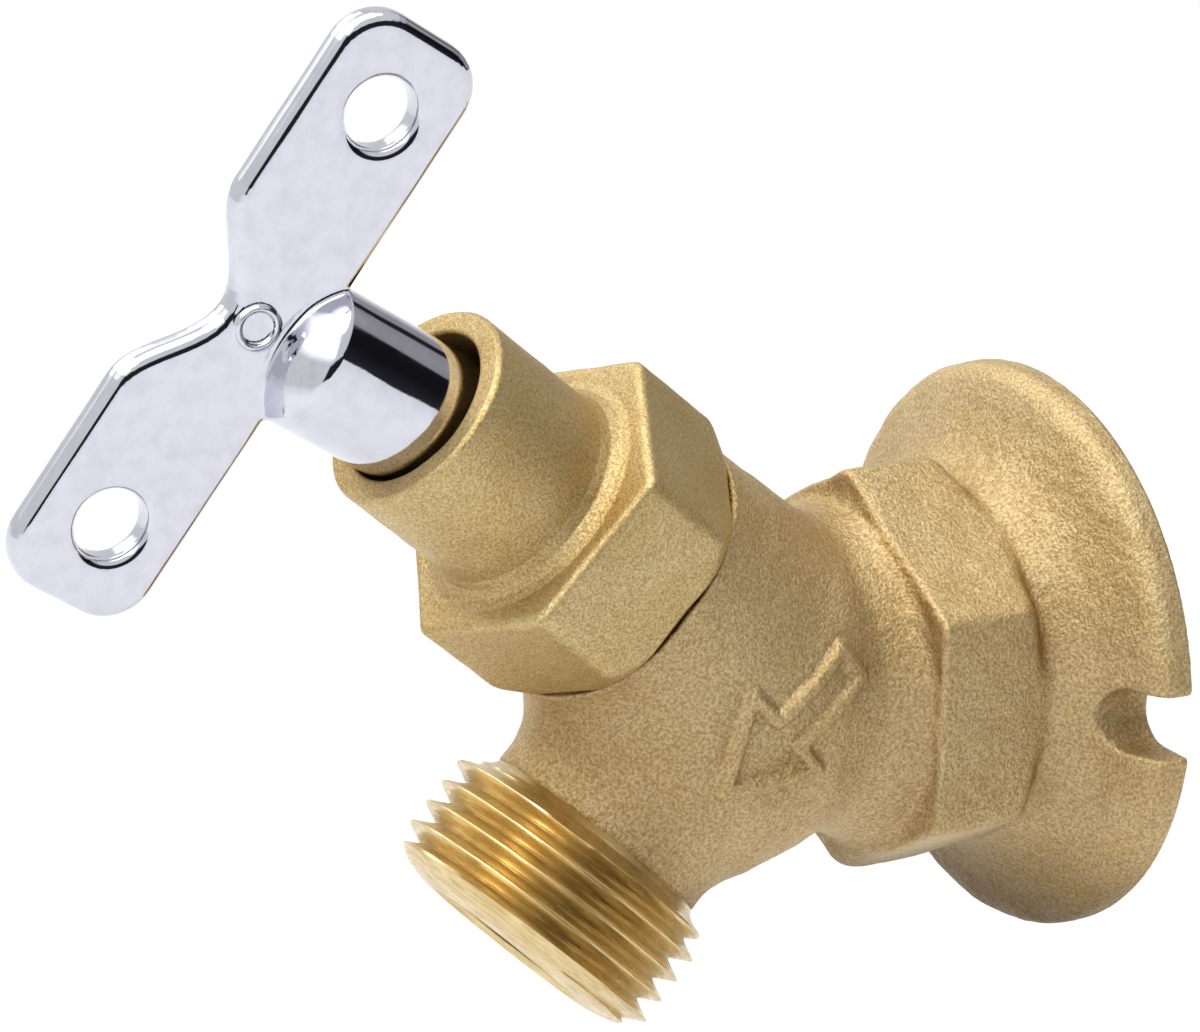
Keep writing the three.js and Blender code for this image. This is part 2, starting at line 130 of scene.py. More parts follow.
def curve(points, steps=8):
    """A smooth line through the points, as more points."""
    p = np.array([points[0], *points, points[-1]], float)
    out = []
    for i in range(1, len(p) - 2):
        for t in np.arange(steps) / steps:
            a, b, c, d = p[i - 1 : i + 3]
            squared = (2 * a - 5 * b + 4 * c - d) * t**2
            cubed = (3 * b - a - 3 * c + d) * t**3
            out.append(0.5 * (2 * b + (c - a) * t + squared + cubed))
    return [*map(tuple, out), tuple(points[-1])]


class Outline:
    """Signed distance to a closed outline in a plane, tabulated and read back by interpolation."""

    def __init__(self, points, cell=0.1, margin=3.0):
        p = np.array(points, float)
        self.cell = cell
        self.low = p.min(0) - margin
        count = np.ceil((p.max(0) + margin - self.low) / cell).astype(int) + 1
        grid = np.stack(np.meshgrid(*[np.arange(n) * cell for n in count], indexing="ij"), -1) + self.low
        x, y = grid[..., 0], grid[..., 1]
        distance = np.full(x.shape, 1e9)
        inside = np.zeros(x.shape, bool)
        for (ax, ay), (bx, by) in zip(p, np.roll(p, -1, 0)):
            dx, dy = bx - ax, by - ay
            along = np.clip(((x - ax) * dx + (y - ay) * dy) / max(dx * dx + dy * dy, 1e-12), 0, 1)
            distance = np.minimum(distance, np.hypot(x - ax - along * dx, y - ay - along * dy))
            if ay != by:
                inside ^= ((ay > y) != (by > y)) & (x < dx * (y - ay) / dy + ax)
        self.table = np.where(inside, -distance, distance)

    def __call__(self, x, y):
        fx = (x - self.low[0]) / self.cell
        fy = (y - self.low[1]) / self.cell
        nx, ny = self.table.shape
        cx, cy = np.clip(fx, 0, nx - 1.001), np.clip(fy, 0, ny - 1.001)
        i, j = cx.astype(int), cy.astype(int)
        u, v = cx - i, cy - j
        t = self.table
        near = t[i, j] * (1 - u) * (1 - v) + t[i + 1, j] * u * (1 - v)
        near += t[i, j + 1] * (1 - u) * v + t[i + 1, j + 1] * u * v
        return near + np.hypot(fx - cx, fy - cy) * self.cell


def revolved(profile, cell=0.1):
    """Distance to a solid of revolution whose [radius, height] outline starts and ends on the axis."""
    mirrored = [(-r, h) for r, h in reversed(profile) if r > 0]
    outline = Outline([*profile, *mirrored], cell)
    return lambda q: outline(np.hypot(q[:, 0], q[:, 1]), q[:, 2])


def rod(q, radius, low, high):
    """Distance to a cylinder about z."""
    return np.maximum(np.hypot(q[:, 0], q[:, 1]) - radius, np.maximum(low - q[:, 2], q[:, 2] - high))


def hexagon(q, corner_radius, first_corner, rounding):
    """Distance to an endless hexagonal bar about z."""
    flat = corner_radius * math.cos(math.pi / 6)
    sides = []
    for i in range(6):
        angle = math.radians(first_corner + 30 + 60 * i)
        sides.append(q[:, 0] * math.cos(angle) + q[:, 1] * math.sin(angle) - flat)
    whole = sides[0]
    for side in sides[1:]:
        whole = round_off(whole, side, rounding)
    return whole


def ripple(points, wavelength, seed):
    """Smooth unevenness between about -1 and 1, the same each run."""
    rng = np.random.default_rng(seed)
    total = np.zeros(len(points))
    for _ in range(7):
        direction = rng.normal(size=3)
        direction *= TURN / (wavelength * rng.uniform(0.7, 1.4) * np.linalg.norm(direction))
        total += np.sin(points @ direction + rng.uniform(0, TURN))
    return total / 3.5


# ---------------------------------------------------------------- meshing a distance


def sampled(distance, points, chunk=400_000):
    return np.concatenate([distance(points[i : i + chunk]) for i in range(0, len(points), chunk)])


def slope(distance, points, reach):
    """Gradient of a distance, from four samples round each point."""
    corners = np.array([(1, 1, 1), (1, -1, -1), (-1, 1, -1), (-1, -1, 1)], float)
    return sum(c * sampled(distance, points + reach * c)[:, None] for c in corners) / (4 * reach)


def distance_grid(distance, low, counts, step, block):
    """A grid of distances. Blocks far from the surface aren't sampled and keep their middle's value."""
    firsts = [np.arange(0, n - 1, block) for n in counts]
    starts = np.stack(np.meshgrid(*firsts, indexing="ij"), -1).reshape(-1, 3)
    offsets = np.stack(np.meshgrid(*[np.arange(block + 1)] * 3, indexing="ij"), -1).reshape(-1, 3)
    coarse = sampled(distance, low + (starts + block / 2) * step)
    near = np.abs(coarse) < block * step * 1.05
    field = np.full(counts, np.nan, np.float32)
    far_cells = (starts[~near][:, None] + offsets[None]).reshape(-1, 3)
    field[tuple(far_cells.T)] = np.repeat(coarse[~near], len(offsets))
    near_cells = (starts[near][:, None] + offsets[None]).reshape(-1, 3)
    cells = np.unique(np.ravel_multi_index(tuple(near_cells.T), counts))
    grid = np.stack(np.unravel_index(cells, counts), 1)
    field.reshape(-1)[cells] = sampled(distance, low + grid * step)
    return field


def net_points(field):
    """One point in each cell that the surface passes, and a grid of the points' numbers."""
    inside = field < 0
    corners = [(i, j, k) for i in (0, 1) for j in (0, 1) for k in (0, 1)]
    shape = tuple(n - 1 for n in field.shape)
    shifted = [inside[tuple(slice(c, c + n) for c, n in zip(corner, shape))] for corner in corners]
    tally = sum(part.astype(np.int8) for part in shifted)
    active = np.argwhere((tally > 0) & (tally < 8))
    number = np.full(shape, -1, np.int64)
    number[tuple(active.T)] = np.arange(len(active))
    total = np.zeros((len(active), 3))
    hits = np.zeros(len(active))
    for a in corners:
        for axis in range(3):
            if a[axis]:
                continue
            b = tuple(c + (n == axis) for n, c in enumerate(a))
            at_a = field[tuple((active + a).T)]
            at_b = field[tuple((active + b).T)]
            cross = (at_a < 0) != (at_b < 0)
            share = np.where(cross, at_a / np.where(cross, at_a - at_b, 1), 0)
            place = np.array(a) + np.eye(3)[axis] * share[:, None]
            total += np.where(cross[:, None], place, 0)
            hits += cross
    return active + total / hits[:, None], number


def net_quads(inside, number):
    """A quad round every edge of the grid that crosses the surface, facing outward."""
    quads = []
    for axis in range(3):
        u, v = [n for n in range(3) if n != axis]
        ahead = [slice(None)] * 3
        behind = [slice(None)] * 3
        ahead[axis], behind[axis] = slice(1, None), slice(None, -1)
        change = np.argwhere(inside[tuple(behind)] != inside[tuple(ahead)])
        change = change[(change[:, u] > 0) & (change[:, v] > 0)]
        change = change[(change[:, u] < number.shape[u]) & (change[:, v] < number.shape[v])]
        du, dv = np.eye(3, dtype=int)[u], np.eye(3, dtype=int)[v]
        ring = [change - du - dv, change - dv, change, change - du]
        quad = np.stack([number[tuple(c.T)] for c in ring], 1)
        solid_below = inside[tuple(change.T)]
        forward = solid_below if axis != 1 else ~solid_below
        quad[~forward] = quad[~forward][:, ::-1]
        quads.append(quad)
    return np.concatenate(quads)


def surface_net(distance, low, high, step):
    """Points, quads and normals of distance = 0 inside a box, with each point moved onto the surface."""
    block = 4
    counts = [int(math.ceil((b - a) / (step * block))) * block + 1 for a, b in zip(low, high)]
    low = np.array(low, float)
    field = distance_grid(distance, low, counts, step, block)
    places, number = net_points(field)
    quads = net_quads(field < 0, number)
    points = low + places * step
    for _ in range(4):
        gradient = slope(distance, points, step * 0.08)
        size = np.maximum((gradient**2).sum(1), 0.2)
        move = -sampled(distance, points) / size
        points += np.clip(move, -0.4 * step, 0.4 * step)[:, None] * gradient
    normals = slope(distance, points, step * 0.08)
    normals /= np.maximum(np.linalg.norm(normals, axis=1), 1e-9)[:, None]
    return points, quads, normals


def add_mesh(name, shape, body, node, paint, axis=None, crease=None):
    """A mesh object that rides on a body in place of a CAD node.

    The shape is points in millimetres, faces and, where they are known, normals, in the frame of `axis`.
    """
    points, faces, *given = shape
    normals = given[0] if given else None
    mesh = bpy.data.meshes.new(name)
    if axis is not None:
        points = axis.world(points)
        if normals is not None:
            normals = normals @ np.stack([axis.x, axis.y, axis.z])
    mesh.from_pydata((points * MM).tolist(), [], [list(map(int, f)) for f in faces])
    mesh.validate()
    mesh.polygons.foreach_set("use_smooth", [True] * len(mesh.polygons))
    if normals is not None:
        mesh.normals_split_custom_set_from_vertices(normals.tolist())
    if crease is not None:
        mesh.set_sharp_from_angle(angle=math.radians(crease))
    piece = bpy.data.objects.new(name, mesh)
    bpy.context.scene.collection.objects.link(piece)
    mesh.materials.append(paint)
    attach(piece, body)
    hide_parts(node)


# ---------------------------------------------------------------- skins of revolution and threads


ROOT_ROUNDING = 0.12  # share of a thread's depth
THREAD_CREASE = 32  # faces of a thread that meet at more degrees than this have a sharp edge


def thread_radius(angle, height, thread):
    """Radius of a screw's surface. `thread` says its size and the height of a crest at angle 0."""
    phase = (height - thread["crest_at"]) / thread["pitch"] - angle / TURN
    away = np.abs(phase - np.round(phase)) * thread["pitch"]
    depth = thread["crest_radius"] - thread["root_radius"]
    ridge = 1 - np.clip((away - thread["crest"] / 2) / (thread["pitch"] / 2 - thread["crest"] / 2), 0, 1)
    soft = ROOT_ROUNDING
    ridge = (np.sqrt(ridge**2 + soft**2) - soft) / (math.sqrt(1 + soft**2) - soft)
    turns_in = np.minimum(height - thread["low"], thread["high"] - height) / thread["pitch"]
    rise = np.clip(turns_in / thread["run_out"], 0, 1)
    return thread["root_radius"] + depth * ridge * rise


def thread_size(crest_radius, root_radius, pitch, crest, low, high, crest_at, run_out=0.4):
    """A thread: `crest` is the width of its flat top, and `run_out` the turns it needs for full depth."""
    return dict(
        crest_radius=crest_radius,
        root_radius=root_radius,
        pitch=pitch,
        crest=crest,
        low=low,
        high=high,
        crest_at=crest_at,
        run_out=run_out,
    )


HOSE_THREAD = thread_size(
    13.49, 11.7, pitch=2.209, crest=0.2, low=16.1, high=29.5, crest_at=18.555, run_out=0.5
)
INLET_THREAD = thread_size(13.2, 12.15, pitch=1.814, crest=0.35, low=-4, high=12.6, crest_at=-0.036)
NECK_THREAD = thread_size(11.0, 10.4, pitch=1.6, crest=0.3, low=22.4, high=28.6, crest_at=23.841)
STEM_THREAD = thread_size(8.15, 7.1, pitch=2.117, crest=0.4, low=14.5, high=22.0, crest_at=15.45)
NUT_TAP = {**NECK_THREAD, "crest_radius": 11.35, "root_radius": 10.75, "low": 20.0, "high": 32.0}
STEM_TAP = {**STEM_THREAD, "crest_radius": 8.33, "root_radius": 7.46, "low": 12.0, "high": 32.0}


def thread_rows(thread, low, high):
    """Row heights at angle 0 that follow crests, flanks and roots, and how many there are to a turn."""
    half_crest, half_pitch = thread["crest"] / 2, thread["pitch"] / 2
    marks = [0.6 * half_crest, 1.4 * half_crest]
    marks += [half_crest + (half_pitch - half_crest) * share for share in (0.3, 0.55, 0.75, 0.9)]
    offsets = sorted([-m for m in marks] + marks + [half_pitch])
    first = math.floor((low - thread["crest_at"]) / thread["pitch"]) - 2
    last = math.ceil((high - thread["crest_at"]) / thread["pitch"]) + 2
    heights = [thread["crest_at"] + n * thread["pitch"] + o for n in range(first, last) for o in offsets]
    return heights, len(offsets)


def skin(radius, low, high, around, thread=None, rows=()):
    """Points and quads of r = radius(angle, height). With a thread, the rows climb with it."""
    if thread:
        heights, per_turn = thread_rows(thread, low, high)
        climb = thread["pitch"]
    else:
        heights, per_turn, climb = sorted({low, high, *rows}), 0, 0
    heights = np.array(heights)
    turn = np.arange(around) / around
    h = np.clip(heights[:, None] + climb * turn[None], low, high)
    angle = np.broadcast_to(turn * TURN, h.shape)
    r = radius(angle, h)
    points = np.stack([r * np.sin(angle), -r * np.cos(angle), h], -1).reshape(-1, 3)
    index = np.arange(len(heights) * around).reshape(len(heights), around)
    quads = []
    for j in range(len(heights) - 1):
        for i in range(around):
            if i < around - 1:
                quads.append((index[j, i], index[j, i + 1], index[j + 1, i + 1], index[j + 1, i]))
            elif j + 1 + per_turn < len(heights):
                k = j + per_turn
                quads.append((index[j, i], index[k, 0], index[k + 1, 0], index[j + 1, i]))
    return points, quads


def welded(points, faces):
    """Merges points that coincide and drops faces that have no area left."""
    _, first, back = np.unique(np.round(points, 4), axis=0, return_index=True, return_inverse=True)
    kept = []
    seen = set()
    for face in faces:
        corners = []
        for c in back[list(face)].reshape(-1):
            if not corners or corners[-1] != c:
                corners.append(int(c))
        if len(corners) > 1 and corners[0] == corners[-1]:
            corners.pop()
        if len(set(corners)) < 3 or frozenset(corners) in seen:
            continue
        seen.add(frozenset(corners))
        kept.append(corners)
    return points[first], kept


def sleeve(outer, inner, low, high, around, outer_thread=None, inner_thread=None, inner_rows=()):
    """A closed tube between two skins, whose radii are outer(angle, height) and inner(angle, height)."""
    points, faces = skin(outer, low, high, around, outer_thread)
    inner_points, inner_faces = skin(inner, low, high, around, inner_thread, inner_rows)
    faces += [tuple(c + len(points) for c in reversed(f)) for f in inner_faces]
    turn = np.arange(around) / around * TURN
    parts = [points, inner_points]

    def ring(radius, height):
        r = radius(turn, np.full(around, height))
        return np.stack([r * np.sin(turn), -r * np.cos(turn), np.full(around, height)], 1)

    shift = len(points) + len(inner_points)
    for height, upward in ((low, False), (high, True)):
        edge, hole = ring(outer, height), ring(inner, height)
        parts += [edge, hole]
        for i in range(around):
            j = (i + 1) % around
            face = (shift + i, shift + j, shift + around + j, shift + around + i)
            faces.append(face if upward else face[::-1])
        shift += 2 * around
    return welded(np.concatenate(parts), faces)


def stepped(profile):
    """radius(angle, height) from [height, radius] pairs joined by straight lines."""
    heights, radii = zip(*profile)
    return lambda angle, height: np.interp(height, heights, radii)


def turned(profile, around=96):
    """A closed solid of revolution: profile is a closed list of [radius, height] points, walked round."""
    outline = np.array(profile, float)
    turn = np.arange(around) / around * TURN
    radius = outline[:, None, 0]
    height = np.broadcast_to(outline[:, None, 1], (len(outline), around))
    points = np.stack([radius * np.sin(turn), -radius * np.cos(turn), height], -1).reshape(-1, 3)
    index = np.arange(len(outline) * around).reshape(len(outline), around)
    faces = []
    for j in range(len(outline)):
        k = (j + 1) % len(outline)
        for i in range(around):
            n = (i + 1) % around
            faces.append((index[j, i], index[j, n], index[k, n], index[k, i]))
    return welded(points, faces)


def eased(profile, amount, steps=3):
    """A closed outline with each corner cut into a small arc."""
    p = np.array(profile, float)
    out = []
    for a, b, c in zip(np.roll(p, 1, 0), p, np.roll(p, -1, 0)):
        before, after = a - b, c - b
        reach = min(amount, 0.4 * np.linalg.norm(before), 0.4 * np.linalg.norm(after))
        start = b + before / np.linalg.norm(before) * reach
        end = b + after / np.linalg.norm(after) * reach
        for t in np.linspace(0, 1, steps + 1):
            out.append((1 - t) ** 2 * start + 2 * t * (1 - t) * b + t**2 * end)
    return out


# ---------------------------------------------------------------- materials


def material(name, color, metallic, roughness):
    made = bpy.data.materials.new(name)
    made.use_nodes = True
    shader = made.node_tree.nodes["Principled BSDF"]
    shader.inputs["Base Color"].default_value = (*color, 1)
    shader.inputs["Metallic"].default_value = metallic
    shader.inputs["Roughness"].default_value = roughness
    return made, made.node_tree, shader


def noise(tree, scale, detail=3.0, roughness=0.55, stretch=None, axis=None):
    """Noise in object space, with scale in features per metre. With stretch it is drawn out one way."""
    coordinates = tree.nodes.new("ShaderNodeTexCoord")
    source = coordinates.outputs["Object"]
    if stretch is not None:
        mapping = tree.nodes.new("ShaderNodeMapping")
        mapping.vector_type = "TEXTURE"
        mapping.inputs["Rotation"].default_value = axis
        mapping.inputs["Scale"].default_value = stretch
        tree.links.new(source, mapping.inputs["Vector"])
        source = mapping.outputs["Vector"]
    texture = tree.nodes.new("ShaderNodeTexNoise")
    texture.inputs["Scale"].default_value = scale
    texture.inputs["Detail"].default_value = detail
    texture.inputs["Roughness"].default_value = roughness
    tree.links.new(source, texture.inputs["Vector"])
    return texture.outputs["Fac"]


def ramp(tree, source, stops):
    """A colour ramp from (position, colour) stops."""
    node = tree.nodes.new("ShaderNodeValToRGB")
    elements = node.color_ramp.elements
    while len(elements) < len(stops):
        elements.new(0.5)
    for element, (position, color) in zip(elements, stops):
        element.position = position
        element.color = (*color, 1)
    tree.links.new(source, node.inputs["Fac"])
    return node.outputs["Color"]


def to_range(tree, source, low, high, new_low, new_high):
    node = tree.nodes.new("ShaderNodeMapRange")
    for socket, value in (("From Min", low), ("From Max", high), ("To Min", new_low), ("To Max", new_high)):
        node.inputs[socket].default_value = value
    tree.links.new(source, node.inputs["Value"])
    return node.outputs["Result"]


def mixed(tree, kind, a, b):
    """Two colours, each a colour or a socket, multiplied or added in full."""
    node = tree.nodes.new("ShaderNodeMix")
    node.data_type = "RGBA"
    node.blend_type = kind
    factor, first, second, result = node.inputs[0], node.inputs[6], node.inputs[7], node.outputs[2]
    factor.default_value = 1.0
    for socket, value in ((first, a), (second, b)):
        if isinstance(value, bpy.types.NodeSocket):
            tree.links.new(value, socket)
        else:
            socket.default_value = (*value, 1)
    return result


def bumped(tree, shader, layers):
    """Bump layers of (height socket, distance in millimetres), one on another."""
    normal = None
    for height, distance in layers:
        bump = tree.nodes.new("ShaderNodeBump")
        bump.inputs["Distance"].default_value = distance * MM
        tree.links.new(height, bump.inputs["Height"])
        if normal:
            tree.links.new(normal, bump.inputs["Normal"])
        normal = bump.outputs["Normal"]
    tree.links.new(normal, shader.inputs["Normal"])


WHITE = (1.0, 1.0, 1.0)


def darkened(tree, tint, source, stops):
    """A colour multiplied by a ramp of the source."""
    return mixed(tree, "MULTIPLY", tint, ramp(tree, source, stops))


def openness(tree, reach):
    """1 where nothing is within a reach in millimetres of the surface, and less in corners and holes."""
    node = tree.nodes.new("ShaderNodeAmbientOcclusion")
    node.samples = 6
    node.inputs["Distance"].default_value = reach * MM
    return node.outputs["AO"]


def above_foot(tree, bottom, top):
    """0 below one height of the object and 1 above another, both in millimetres."""
    place = tree.nodes.new("ShaderNodeTexCoord")
    split = tree.nodes.new("ShaderNodeSeparateXYZ")
    tree.links.new(place.outputs["Object"], split.inputs["Vector"])
    return to_range(tree, split.outputs["Z"], bottom * MM, top * MM, 0.0, 1.0)


def grainy_brass(name, tones, roughness, grain, depth, paint_foot_shade=False):
    """Sand-cast or tumbled brass, with grain in colour, gloss and relief.

    The grain's size and depth are in millimetres. Corners and hollows get painted shade, and if asked the
    foot gets painted shade too, darker towards the bottom.
    """
    dark, mid, light = tones
    made, tree, shader = material(name, mid, 1.0, roughness)
    fine = noise(tree, 1 / (grain * MM), 4.0, 0.62)
    coarse = noise(tree, 1 / (2.6 * grain * MM), 2.0, 0.5)
    broad = noise(tree, 1 / (7 * MM), 3.0, 0.5)
    tint = ramp(tree, fine, [(0.38, dark), (0.5, mid), (0.62, light)])
    tint = darkened(tree, tint, broad, [(0.3, (0.90, 0.85, 0.76)), (0.7, WHITE)])
    # Painted shade: the colour gets darker towards the bottom of the body, standing in for the shade under
    # it.
    if paint_foot_shade:
        foot_shade_stops = [(0.0, (0.30, 0.27, 0.22)), (0.45, (0.56, 0.52, 0.45)), (1.0, WHITE)]
        tint = darkened(tree, tint, above_foot(tree, -23, -12), foot_shade_stops)
    # Painted shade: corners and hollows are darkened, the more the nearer other surfaces are.
    tint = darkened(tree, tint, openness(tree, 9), [(0.4, (0.55, 0.44, 0.29)), (0.92, WHITE)])
    gloss = to_range(tree, fine, 0.3, 0.7, roughness + 0.08, roughness - 0.08)
    tree.links.new(tint, shader.inputs["Base Color"])
    tree.links.new(gloss, shader.inputs["Roughness"])
    bumped(tree, shader, [(broad, 0.25), (coarse, 0.8 * depth), (fine, depth)])
    return made


def turned_brass_material(name, tones, axis):
    """Brass off a lathe, with fine tool marks that run round the axis, and painted shade in its roots and
    corners.
    """
    dark, mid, light = tones
    made, tree, shader = material(name, mid, 1.0, 0.3)
    level = Vector((0, 0, 1)).rotation_difference(Vector(axis.z.tolist())).to_euler()
    marks = noise(tree, 1 / (0.16 * MM), 2.0, 0.6, stretch=(14.0, 14.0, 1.0), axis=level)
    cloud = noise(tree, 1 / (3.5 * MM), 3.0, 0.5)
    tint = ramp(tree, marks, [(0.32, dark), (0.5, mid), (0.68, light)])
    tint = darkened(tree, tint, cloud, [(0.3, (0.90, 0.87, 0.80)), (0.7, WHITE)])
    # Painted shade: thread roots and tight corners are darkened, the more the nearer other surfaces are.
    tint = darkened(tree, tint, openness(tree, 1.6), [(0.1, (0.50, 0.40, 0.26)), (0.5, WHITE)])
    tree.links.new(tint, shader.inputs["Base Color"])
    tree.links.new(to_range(tree, marks, 0.3, 0.7, 0.36, 0.24), shader.inputs["Roughness"])
    bumped(tree, shader, [(marks, 0.012)])
    return made


def chrome_material():
    """Bright plating with a faint haze."""
    made, tree, shader = material("chrome_plate", (0.66, 0.66, 0.72), 1.0, 0.07)
    haze = noise(tree, 1 / (1.6 * MM), 4.0, 0.65)
    tint = ramp(tree, haze, [(0.3, (0.61, 0.61, 0.67)), (0.6, (0.68, 0.68, 0.75))])
    tree.links.new(tint, shader.inputs["Base Color"])
    tree.links.new(to_range(tree, haze, 0.3, 0.7, 0.09, 0.04), shader.inputs["Roughness"])
    bumped(tree, shader, [(haze, 0.006)])
    return made


def soft_material(name, color, roughness, grain):
    """Rubber, fibre or packing, flecked with a grain of a size in millimetres."""
    made, tree, shader = material(name, color, 0.0, roughness)
    fleck = noise(tree, 1 / (grain * MM), 3.0)
    dark = tuple(0.6 * c for c in color)
    light = tuple(min(1.0, 1.5 * c) for c in color)
    tree.links.new(ramp(tree, fleck, [(0.35, dark), (0.65, light)]), shader.inputs["Base Color"])
    bumped(tree, shader, [(fleck, 0.03)])
    return made


# Dark, middle and light tones of each brass.
CAST_TONES = (0.44, 0.32, 0.15), (0.565, 0.43, 0.225), (0.69, 0.55, 0.32)
NUT_TONES = (0.45, 0.33, 0.145), (0.585, 0.45, 0.22), (0.70, 0.57, 0.31)
TURNED_TONES = (0.60, 0.46, 0.22), (0.72, 0.57, 0.30), (0.81, 0.67, 0.40)
CUT_TONES = (0.58, 0.42, 0.18), (0.72, 0.54, 0.25), (0.80, 0.64, 0.34)

# The cast brass gets painted shade towards its foot.
cast_brass = grainy_brass("cast_brass", CAST_TONES, roughness=0.50, grain=0.28, depth=0.17, paint_foot_shade=True)
nut_brass = grainy_brass("nut_brass", NUT_TONES, roughness=0.48, grain=0.22, depth=0.07)
turned_brass = turned_brass_material("turned_brass", TURNED_TONES, outlet)
cut_brass = turned_brass_material("cut_brass", CUT_TONES, bonnet)
chrome_plate = chrome_material()
rubber = soft_material("black_rubber", (0.03, 0.03, 0.03), 0.55, 0.3)
fibre = soft_material("red_fibre", (0.28, 0.08, 0.05), 0.75, 0.2)
packing = soft_material("graphite_packing", (0.07, 0.07, 0.075), 0.5, 0.25)


# ---------------------------------------------------------------- the valve body's casting

# Profiles are [radius, distance along the axis]. Those of the flange and barrel start at the wall.
BELL = [
    (25.9, 1.5),
    (25.8, 2.2),
    (25.4, 2.9),
    (24.6, 3.5),
    (23.4, 4.0),
    (21.6, 4.7),
    (19.8, 5.6),
    (18.2, 6.9),
    (17.1, 8.3),
    (16.4, 10.2),
]
SLOT_WIDTH, SLOT_END = 5.8, 19.2
HEX_CORNER, HEX_BACK, HEX_FRONT = 19.31, 9.5, 20.3
HEX_APOTHEM, HEX_CHAMFER = 16.7, math.radians(30)
BARREL = [
    (14.6, 18.0),
    (14.75, 20.6),
    (14.75, 21.4),
    (14.35, 22.5),
    (13.65, 23.8),
    (13.25, 25.3),
    (13.35, 27.2),
    (13.8, 29.5),
    (13.9, 34.0),
]
NECK_RADIUS, NECK_TOP, NECK_RIM = 13.25, 21.36, 27.9
OUTLET_NECK = [(13.4, -2), (13.0, 4), (12.3, 8), (11.3, 11), (10.75, 13.4), (10.7, 15.2)]
GLOBE_RADIUS, GLOBE_CENTRE = 14.3, 5.0
LIMB_FILLET = 4.5
ARROW_MIDDLE, ARROW_SLOPE = (34.0, 1.5), math.radians(-40)
ARROW = [(-8, -1.7), (0.5, -1.7), (0.5, -5.0), (8, 0), (0.5, 5.0), (0.5, 1.7), (-8, 1.7)]
ARROW_STROKE, ARROW_RISE, ARROW_FLANK = 0.62, 0.6, 0.7
SEAT_HEIGHT, SEAT_LIP, SEAT_PORT = 4.6, 6.7, 5.2
SOCKET_RADIUS, SOCKET_DEPTH = 13.45, 12.6
RELIEF_RADIUS, RELIEF_START, RELIEF_END = 12.0, 11.0, 16.5
PASSAGE_RADIUS, PASSAGE_DROP, CHAMBER_RADIUS, OUTLET_BORE, NECK_BORE = 6.5, 2.0, 8.8, 8.0, 9.3

bell = revolved([(0, 0), (25.55, 0), (25.9, 0.35), *curve(BELL), (16.3, 12), (0, 12)])
barrel = revolved([(0, 18), *curve(BARREL), (0, 34)])
outlet_neck = revolved([(0, -2), *curve(OUTLET_NECK), (10.35, 15.9), (9.6, 16.3), (0, 16.3)])


def tilted(points, middle, slope):
    """Points turned by a slope and moved to a middle."""
    cos, sin = math.cos(slope), math.sin(slope)
    return [(middle[0] + x * cos - y * sin, middle[1] + x * sin + y * cos) for x, y in points]


arrow = Outline(tilted(ARROW, ARROW_MIDDLE, ARROW_SLOPE))


def flange_and_hex(q):
    """The bell-shaped wall flange and the wrench hex in front of it."""
    radius = np.hypot(q[:, 0], q[:, 1])
    flats = hexagon(q, HEX_CORNER, 30, 0.9)
    chamfer_height = HEX_BACK + (radius - HEX_APOTHEM) * math.tan(HEX_CHAMFER)
    chamfer = (chamfer_height - q[:, 2]) * math.cos(HEX_CHAMFER)
    # The lowest corner was ground off more than the rest.
    worn = 0.6 + 3.2 * np.clip((-q[:, 1] - 13.5) / 5.5, 0, 1)
    hexed = round_off(round_off(flats, chamfer, 0.8), q[:, 2] - HEX_FRONT, worn)
    return blend_in(bell(q), hexed, 0.9)


def flange_slots(q):
    """The two open slots for wall screws, with round inner ends."""
    middle = SLOT_END + SLOT_WIDTH / 2
    x = np.abs(q[:, 0])
    side = np.abs(q[:, 1]) - SLOT_WIDTH / 2
    rounded = np.hypot(x - middle, q[:, 1]) - SLOT_WIDTH / 2
    return np.maximum(np.where(x > middle, side, rounded), q[:, 2] - HEX_BACK)


def casting_outside(points):
    """The limbs of the body, filleted where they meet."""
    q, b, o = inlet.local(points), bonnet.local(points), outlet.local(points)
    neck = round_off(np.hypot(b[:, 0], b[:, 1]) - NECK_RADIUS, b[:, 2] - NECK_TOP, 0.3)
    neck = np.maximum(neck, -b[:, 2])
    middle = points - bonnet.at(0, 0, GLOBE_CENTRE)
    reach = np.maximum(np.linalg.norm(middle, axis=1), 1e-6)
    limbs = [
        (barrel(q), inlet.away(q)),
        (neck, bonnet.away(b)),
        (outlet_neck(o), outlet.away(o)),
        (reach - GLOBE_RADIUS, middle / reach[:, None]),
    ]
    # Fillets narrow to nothing where two limbs run alongside each other, so that the sides don't swell.
    body = np.full(len(points), 1e9)
    for i, (a, out_a) in enumerate(limbs):
        for other, out_other in limbs[i + 1 :]:
            apart = 1 - (out_a * out_other).sum(1)
            body = np.minimum(body, blend_in(a, other, LIMB_FILLET * np.clip(4.5 * apart, 0.02, 1)))
    return blend_in(flange_and_hex(q), body, 2.2)


def flow_arrow(points):
    """Height of the raised arrow on the body's right side, which points the way the water goes."""
    away = np.abs(arrow(-points[:, 1], points[:, 2])) - ARROW_STROKE
    rise = np.clip(0.5 - away / ARROW_FLANK, 0, 1)
    return ARROW_RISE * rise * rise * (3 - 2 * rise) * (points[:, 0] > 4)


